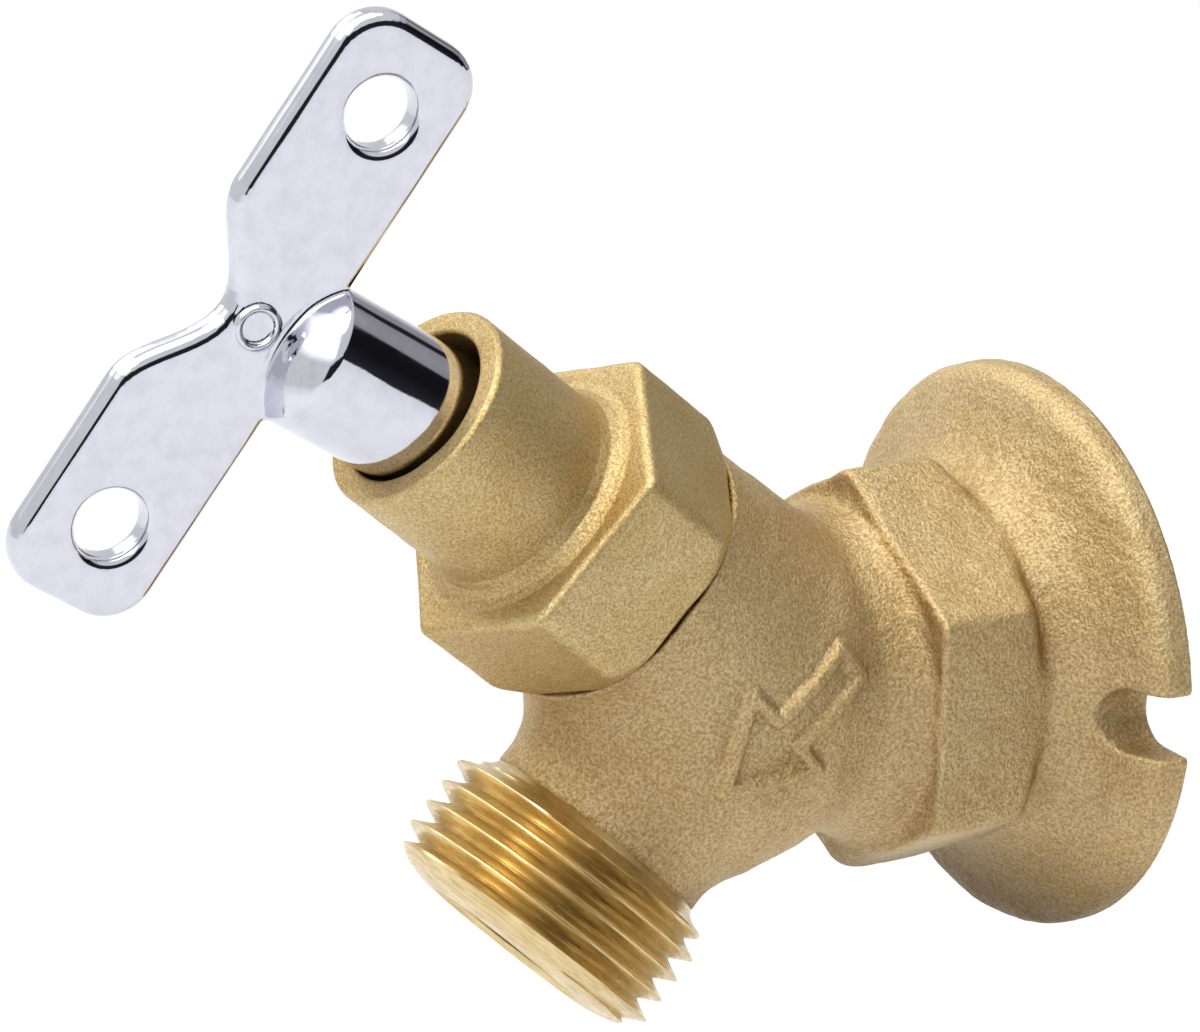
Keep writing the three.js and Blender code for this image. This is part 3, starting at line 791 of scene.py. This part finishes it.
def waterways(points):
    """The hollow inside: socket, relief and passage to the seat's port, then chamber, outlet and neck."""
    q, b, o = inlet.local(points), bonnet.local(points), outlet.local(points)
    lowered = q + (0, PASSAGE_DROP, 0)
    socket = rod(q, SOCKET_RADIUS, -1, SOCKET_DEPTH)
    before = np.minimum(socket, rod(q, RELIEF_RADIUS, RELIEF_START, RELIEF_END))
    before = blend_in(before, rod(lowered, PASSAGE_RADIUS, 15, 26), 1.0)
    before = blend_in(before, rod(b, SEAT_PORT, -8, SEAT_HEIGHT + 1), 1.0)
    after = blend_in(rod(b, CHAMBER_RADIUS, 2.6, 17.5), rod(o, OUTLET_BORE, -3, OUTLET_END), 1.0)
    after = np.maximum(after, -rod(b, SEAT_LIP, -14, SEAT_HEIGHT))
    neck = rod(b, NECK_BORE, 17.0, NECK_TOP + 1)
    return np.minimum(np.minimum(before, after), neck)


def casting(points):
    """The body with its uneven cast skin, which the machined wall face doesn't have."""
    unevenness = 0.05 * ripple(points, 5.0, 11) + 0.025 * ripple(points, 1.9, 12)
    as_cast = np.clip((-points[:, 1] - 0.6) / 0.8, 0, 1)
    outside = casting_outside(points) + unevenness * as_cast - flow_arrow(points)
    slotted = round_off(outside, -flange_slots(inlet.local(points)), 0.5)
    return round_off(slotted, -waterways(points), 0.3)


# The threads' skins run from a foot to a rim. Their limits are [distance along the axis, radius].
HOSE_FOOT, HOSE_BORE, HOSE_FLARE_FOOT, HOSE_FLARE_RADIUS = 15.2, 7.95, 27.2, 8.4
HOSE_END = [(26.2, 12.85), (26.8, 12.15), (27.2, 11.3), (27.5, 10.2), (OUTLET_END, 9.2)]
HOSE_LIMIT = [(HOSE_FOOT, 10.5), (16.1, 11.2), (16.5, 12.2), (17.0, 13.6), (25.5, 13.6), *HOSE_END]
HOSE_BORE_LINE = [(HOSE_FOOT, HOSE_BORE), (HOSE_FLARE_FOOT, HOSE_BORE), (OUTLET_END, HOSE_FLARE_RADIUS)]
INLET_MOUTH, INLET_SKIN, INLET_TAPER = [(0, 13.75), (0.8, 12.95), (1.0, 0)], 13.9, 1 / 32
NECK_FOOT = 17.2
NECK_LIMIT = [(NECK_FOOT, 9.7), (20.6, 9.7), (21.0, 12), (27.3, 12), (27.35, 11.1), (NECK_RIM, 10.5)]


def tube(radius):
    """The same radius everywhere, as radius(angle, height)."""
    return lambda angle, height: np.full(np.shape(height), radius)


def threaded(thread, limit=None):
    """A screw's surface as radius(angle, height), cut back to a stepped limit if there is one."""
    if limit is None:
        return lambda angle, height: thread_radius(angle, height, thread)
    cut_back = stepped(limit)
    return lambda angle, height: np.minimum(thread_radius(angle, height, thread), cut_back(angle, height))


def pipe_tap(angle, height):
    """The inlet's tapered thread, with a countersunk mouth."""
    tapered = thread_radius(angle, height, INLET_THREAD) - height * INLET_TAPER
    return np.maximum(tapered, stepped(INLET_MOUTH)(angle, height))


def valve_body_pieces():
    shape = surface_net(casting, (-27, -60, -28), (27, 1, 31), step=0.42)
    add_mesh("valve_body_casting", shape, "valve", "valve_body", cast_brass)

    hose = sleeve(
        threaded(HOSE_THREAD, HOSE_LIMIT),
        stepped(HOSE_BORE_LINE),
        HOSE_FOOT,
        OUTLET_END,
        around=160,
        outer_thread=HOSE_THREAD,
        inner_rows=(HOSE_FLARE_FOOT,),
    )
    socket = sleeve(
        tube(INLET_SKIN), pipe_tap, 0.05, SOCKET_DEPTH, around=120, inner_thread=INLET_THREAD
    )
    neck = sleeve(
        threaded(NECK_THREAD, NECK_LIMIT),
        threaded(STEM_TAP),
        NECK_FOOT,
        NECK_RIM,
        around=96,
        outer_thread=NECK_THREAD,
        inner_thread=STEM_TAP,
    )
    for name, skin_shape, paint, axis in (
        ("hose", hose, turned_brass, outlet),
        ("inlet", socket, cut_brass, inlet),
        ("neck", neck, cut_brass, bonnet),
    ):
        piece = f"valve_body_{name}_thread"
        add_mesh(piece, skin_shape, "valve", "valve_body", paint, axis, THREAD_CREASE)


# ---------------------------------------------------------------- the bonnet nut

NUT_FOOT, NUT_TOP, NUT_CORNER, NUT_SHIELD = 21.4, 32.95, 15.08, 9.47
NUT_FIRST_CORNER = -36.17  # degrees
NUT_TAP_FOOT, NUT_TAP_TOP, NUT_TAP_SKIN = 21.9, 30.4, 11.9
NUT = [
    (0, NUT_FOOT),
    (13.4, NUT_FOOT),
    (15.4, NUT_FOOT + 2.0),
    (15.3, NUT_TOP),
    (11.3, NUT_TOP),
    (10.5, NUT_TOP + 0.25),
    (9.85, NUT_TOP + 0.85),
    (9.52, NUT_TOP + 1.8),
    (NUT_SHIELD, NUT_TOP + 2.6),
    (NUT_SHIELD, NUT_RIM - 0.35),
    (NUT_SHIELD - 0.35, NUT_RIM),
    (0, NUT_RIM),
]
NUT_BORES = [
    # radius, bottom, top: the thread, the packing, the stem and the key
    (11.6, 20, NUT_TAP_TOP),
    (8.0, 30, 37.0),
    (4.5, 36, 39),
    (7.21, 38.3, 49),
]
nut_turned = revolved(NUT)


def nut(points):
    """The hex nut and the lock shield, bored through."""
    flats = hexagon(points, NUT_CORNER, NUT_FIRST_CORNER, 0.8)
    hexed = round_off(nut_turned(points), np.where(points[:, 2] < NUT_TOP + 4, flats, -5.0), 0.9)
    bore = np.minimum.reduce([rod(points, *size) for size in NUT_BORES])
    return round_off(hexed, -bore, 0.4) + 0.02 * ripple(points, 3.5, 21)


def bonnet_nut_pieces():
    shape = surface_net(nut, (-16.5, -16.5, 21.5), (16.5, 16.5, 48.7), step=0.24)
    add_mesh("bonnet_nut_body", shape, "valve", "bonnet_nut", nut_brass, bonnet)
    thread = sleeve(
        tube(NUT_TAP_SKIN), threaded(NUT_TAP), NUT_TAP_FOOT, NUT_TAP_TOP, around=96, inner_thread=NUT_TAP
    )
    add_mesh(
        "bonnet_nut_thread", thread, "valve", "bonnet_nut", cut_brass, bonnet, THREAD_CREASE
    )


# ---------------------------------------------------------------- the stem and the pieces on it

STEM_CORE = [
    (0, 13.6),
    (2.2, 13.4),
    (2.2, 7.9),
    (6.55, 7.9),
    (6.6, 6.6),
    (7.0, 6.6),
    (7.0, 12.0),
    (5.0, 13.0),
    (5.0, 14.0),
    (7.1, 14.5),
    (7.1, 21.9),
    (4.1, 22.2),
    (4.1, 39.3),
    (0, 39.3),
]
SQUARE_HALF, SQUARE_FOOT, SQUARE_TOP = 3.175, 38.7, 46.4
SCREW_HEAD_RADIUS, SCREW_HEAD_FACE, SCREW_HEAD_TOP = 3.3, 3.2, 4.6
SCREW_RADIUS, SCREW_TIP, SCREW_SLOT_HALF, SCREW_SLOT_TOP = 1.9, 13.0, 0.45, 3.85
stem_core = revolved(STEM_CORE)


def stem_solid(points):
    """The turned stem with its thread and its square end."""
    radius = np.hypot(points[:, 0], points[:, 1])
    angle = np.arctan2(points[:, 0], -points[:, 1])
    ridge = 0.8 * (radius - thread_radius(angle, points[:, 2], STEM_THREAD))
    ends = np.maximum(STEM_THREAD["low"] - points[:, 2], points[:, 2] - STEM_THREAD["high"])
    ridge = np.maximum(ridge, ends)
    u = points[:, 0] * math.cos(KEY_ROLL) + points[:, 1] * math.sin(KEY_ROLL)
    v = points[:, 1] * math.cos(KEY_ROLL) - points[:, 0] * math.sin(KEY_ROLL)
    square = round_off(np.abs(u) - SQUARE_HALF, np.abs(v) - SQUARE_HALF, 0.9)
    square = round_off(square, points[:, 2] - SQUARE_TOP, 0.9)
    square = np.maximum(square, SQUARE_FOOT - points[:, 2])
    whole = np.minimum(np.minimum(stem_core(points), ridge), square)
    return whole + 0.008 * ripple(points, 2.5, 41)


def screw_solid(points):
    """The slotted screw that holds the rubber disc."""
    radius, height = np.hypot(points[:, 0], points[:, 1]), points[:, 2]
    head = round_off(radius - SCREW_HEAD_RADIUS, SCREW_HEAD_FACE - height, 0.9)
    head = np.maximum(head, height - SCREW_HEAD_TOP)
    slot = np.maximum(np.abs(points[:, 1]) - SCREW_SLOT_HALF, height - SCREW_SLOT_TOP)
    head = round_off(head, -slot, 0.12)
    shank = round_off(radius - SCREW_RADIUS, height - SCREW_TIP, 0.6)
    return np.minimum(head, np.maximum(shank, 4.0 - height))


def stem_pieces():
    spindle = surface_net(stem_solid, (-8.8, -8.8, 6), (8.8, 8.8, 47), step=0.2)
    add_mesh("stem_spindle", spindle, "stem", "stem", cut_brass, bonnet)
    screw_shape = surface_net(screw_solid, (-3.8, -3.8, 2.6), (3.8, 3.8, 13.6), step=0.14)
    add_mesh("washer_screw_body", screw_shape, "stem", "washer_screw", cut_brass, bonnet)


RINGS = [
    # node, body, slot, hole, radius, bottom, top, easing of the edges
    ("seat_washer", "disc", "rubber", 2.2, 6.3, 4.9, 7.6, 0.5),
    ("bonnet_gasket", "valve", "fibre", 8.7, 10.3, 28.2, 28.8, 0.15),
    ("packing_washer", "valve", "turned_brass", 4.4, 10.3, 29.1, 30.1, 0.2),
    ("packing_ring_lower", "valve", "packing", 4.4, 7.7, 30.4, 32.6, 0.5),
    ("packing_ring_upper", "valve", "packing", 4.4, 7.7, 32.9, 35.1, 0.5),
    ("packing_gland", "valve", "turned_brass", 4.4, 7.7, 35.4, 36.7, 0.25),
]


def ring_pieces():
    paints = {"rubber": rubber, "fibre": fibre, "turned_brass": cut_brass, "packing": packing}
    for node, body, slot, hole, radius, bottom, top, easing in RINGS:
        section = eased([(hole, bottom), (radius, bottom), (radius, top), (hole, top)], easing)
        add_mesh(node + "_ring", turned(section), body, node, paints[slot], bonnet, crease=40)


# ---------------------------------------------------------------- the loose key

PLATE = dict(near=12.0, far=26.1, half=27.8, thickness=3.05, corner=4.4, notch=5.2, notch_half=9.5)
KEY_HOLE_RADIUS, KEY_HOLE_AT, KEY_HOLE_HEIGHT = 3.08, 20.1, 18.9
WAIST_RING_RADIUS, WAIST_RING_HEIGHT, WAIST_RING_WIRE = 1.7, 17.9, 0.26
SOCKET_HALF, SOCKET_TOP = 3.85, 0.5
KEY_BARREL = [
    (0, -7.5),
    (6.1, -7.5),
    (6.4, -7.2),
    (6.4, 12.3),
    (6.15, 12.75),
    (5.5, 13.4),
    (4.7, 14.0),
    (3.8, 14.5),
    (2.7, 14.85),
    (1.5, 15.1),
    (0, 15.25),
]


def arc(x, y, radius, start, end, steps=10):
    angles = np.radians(np.linspace(start, end, steps))
    return [(x + radius * math.cos(t), y + radius * math.sin(t)) for t in angles]


def key_outline():
    """Outline of the key's plate: x runs along the T, y along the key's axis."""
    across = PLATE["half"] - PLATE["corner"]
    near, far, corner = PLATE["near"], PLATE["far"], PLATE["corner"]
    notch = [
        (x, far - PLATE["notch"] / 2 * (1 + math.cos(math.pi * x / PLATE["notch_half"])))
        for x in np.linspace(PLATE["notch_half"], -PLATE["notch_half"], 25)
    ]
    return [
        *arc(across, near + corner, corner, -90, 0),
        *arc(across, far - corner, corner, 0, 90),
        *notch,
        *arc(-across, far - corner, corner, 90, 180),
        *arc(-across, near + corner, corner, 180, 270),
    ]


key_plate = Outline(key_outline(), cell=0.08)
key_barrel = revolved([*KEY_BARREL[:3], *curve(KEY_BARREL[3:])], cell=0.05)


def key_solid(points):
    """The plate with its two holes and the barrel with its square socket, in one casting."""
    thickness, across, height = np.abs(points[:, 0]), points[:, 1], points[:, 2]
    half = PLATE["thickness"] / 2
    holes = KEY_HOLE_RADIUS - np.hypot(np.abs(across) - KEY_HOLE_AT, height - KEY_HOLE_HEIGHT)
    plate = round_off(key_plate(across, height), thickness - half, 1.45)
    plate = round_off(plate, holes, 1.2)
    # A plain raised ring at the waist, on both faces.
    from_ring = np.hypot(across, height - WAIST_RING_HEIGHT) - WAIST_RING_RADIUS
    ring = np.hypot(from_ring, 0.6 * (thickness - half)) - WAIST_RING_WIRE
    whole = blend_in(blend_in(plate, ring, 0.3), key_barrel(points), 0.5)
    square = np.maximum(thickness, np.abs(across)) - SOCKET_HALF
    socket = np.maximum(square, height - SOCKET_TOP)
    return round_off(whole, -socket, 0.3) + 0.012 * ripple(points, 6.0, 31)


def loose_key_piece():
    shape = surface_net(key_solid, (-7.2, -29, -8.4), (7.2, 29, 27), step=0.22)
    add_mesh("loose_key_casting", shape, "key", "loose_key", chrome_plate, key)


# ---------------------------------------------------------------- stage, light and camera


FLOOR_DROP = 0.06
FLOOR_LOW, FLOOR_HIGH = (-2.5, -2.5), (1.6, 3.0)
STUDIO_WHITE, ROOM_DARK = (0.8, 0.8, 0.8), (0.02, 0.02, 0.025)


def window(bearing, half_width, height, half_height, soft):
    """A part of the world round a bearing, from the front and turning right, and a sine of elevation.

    The bearing, the half width and the soft edge are in degrees.
    """
    return dict(bearing=bearing, half_width=half_width, height=height, half_height=half_height, soft=soft)


DARK_ROOM = window(106, 60, 0.06, 0.35, soft=1.5)
DIMMED = [
    # a narrow dark gap behind on the left, and the grey wall behind, each with its tint
    (window(-157, 5, 0.33, 0.06, soft=1.0), (0.05, 0.05, 0.06)),
    (window(180, 44, 0.0, 0.50, soft=6.0), (0.42, 0.41, 0.43)),
]
LIT = [
    # soft boxes to the left, to the front and overhead, each with its strength
    (window(-76, 22, 0.54, 0.18, soft=6.0), 1.6),
    (window(-6, 56, 0.74, 0.15, soft=7.0), 1.6),
    (window(0, 190, 1.0, 0.08, soft=2.0), 2.0),
]
FRONT_LIGHT = dict(bearing=15, elevation=62, distance=0.9, size=0.45, power=3.0)

EYE = (0.364455, -0.263815, 0.156837)
LINE_OF_SIGHT = (-0.815611, 0.488750, -0.309689)
CAMERA_ROLL, FOCAL_LENGTH = math.radians(1.44), 155.97


def stage_floor():
    """A pale sheet well under the valve."""
    mesh = bpy.data.meshes.new("floor")
    z = cad_low.z - FLOOR_DROP
    (x0, y0), (x1, y1) = FLOOR_LOW, FLOOR_HIGH
    mesh.from_pydata([(x0, y0, z), (x1, y0, z), (x1, y1, z), (x0, y1, z)], [], [(0, 1, 2, 3)])
    floor = bpy.data.objects.new("floor", mesh)
    bpy.context.scene.collection.objects.link(floor)
    mesh.materials.append(material("pale_floor", (0.70, 0.70, 0.71), 0.0, 0.9)[0])


def math_node(tree, kind, *values):
    node = tree.nodes.new("ShaderNodeMath")
    node.operation = kind
    for socket, value in zip(node.inputs, values):
        if isinstance(value, bpy.types.NodeSocket):
            tree.links.new(value, socket)
        else:
            socket.default_value = value
    return node.outputs[0]


def outside(tree, direction, bearing, half_width, height, half_height, soft):
    """0 inside a window of the world and 1 outside it."""
    x, y, z = (direction.outputs[name] for name in "XYZ")
    middle = math.radians(bearing)
    ahead = math_node(tree, "MULTIPLY", x, math.sin(middle))
    ahead = math_node(tree, "MULTIPLY_ADD", y, -math.cos(middle), ahead)
    aside = math_node(tree, "MULTIPLY", x, math.cos(middle))
    aside = math_node(tree, "MULTIPLY_ADD", y, math.sin(middle), aside)
    turned_by = math_node(tree, "ABSOLUTE", math_node(tree, "ARCTAN2", aside, ahead))
    raised_by = math_node(tree, "ABSOLUTE", math_node(tree, "SUBTRACT", z, height))
    near_side, far_side = math.radians(half_width - soft), math.radians(half_width + soft)
    wide = to_range(tree, turned_by, near_side, far_side, 0.0, 1.0)
    edge = 0.017 * soft
    tall = to_range(tree, raised_by, half_height - edge, half_height + edge, 0.0, 1.0)
    return math_node(tree, "MAXIMUM", wide, tall)


def soft_world():
    """A white studio: bright overhead and to the left, with a dark stretch of room to the right."""
    world = bpy.data.worlds.new("studio")
    bpy.context.scene.world = world
    world.use_nodes = True
    tree = world.node_tree
    background = tree.nodes["Background"]
    coordinates = tree.nodes.new("ShaderNodeTexCoord")
    direction = tree.nodes.new("ShaderNodeSeparateXYZ")
    tree.links.new(coordinates.outputs["Generated"], direction.inputs["Vector"])
    light = ramp(tree, outside(tree, direction, **DARK_ROOM), [(0.0, ROOM_DARK), (1.0, STUDIO_WHITE)])
    for dimmed, tint in DIMMED:
        light = darkened(tree, light, outside(tree, direction, **dimmed), [(0.0, tint), (1.0, WHITE)])
    for lit, strength in LIT:
        glow = ramp(tree, outside(tree, direction, **lit), [(0.0, WHITE), (1.0, (0, 0, 0))])
        light = mixed(tree, "ADD", light, mixed(tree, "MULTIPLY", glow, (strength,) * 3))
    tree.links.new(light, background.inputs["Color"])
    background.inputs["Strength"].default_value = 1.0


def area_light(name, bearing, elevation, distance, size, power):
    """A round lamp aimed at the valve's middle, at a bearing from the front and an elevation in degrees."""
    a, e = math.radians(bearing), math.radians(elevation)
    back = Vector((math.sin(a) * math.cos(e), -math.cos(a) * math.cos(e), math.sin(e)))
    data = bpy.data.lights.new(name, "AREA")
    data.shape = "DISK"
    data.size = size
    data.energy = power
    lamp = bpy.data.objects.new(name, data)
    lamp.location = (cad_low + cad_high) / 2 + back * distance
    lamp.rotation_mode = "QUATERNION"
    lamp.rotation_quaternion = back.to_track_quat("Z", "Y")
    bpy.context.scene.collection.objects.link(lamp)


def main_camera():
    """The eye is to the right of the valve, in front of it and a little above."""
    data = bpy.data.cameras.new("camera")
    data.sensor_width = 36.0
    data.lens = FOCAL_LENGTH
    data.clip_start = 0.01
    data.clip_end = 20
    camera = bpy.data.objects.new("camera", data)
    camera.location = EYE
    camera.rotation_mode = "QUATERNION"
    level = Vector(LINE_OF_SIGHT).to_track_quat("-Z", "Y")
    camera.rotation_quaternion = level @ Matrix.Rotation(CAMERA_ROLL, 3, "Z").to_quaternion()
    bpy.context.scene.collection.objects.link(camera)
    bpy.context.scene.camera = camera


main_camera()
stage_floor()
soft_world()
area_light("front_light", **FRONT_LIGHT)
bpy.context.scene.view_settings.view_transform = "Standard"

valve_body_pieces()
bonnet_nut_pieces()
loose_key_piece()
stem_pieces()
ring_pieces()
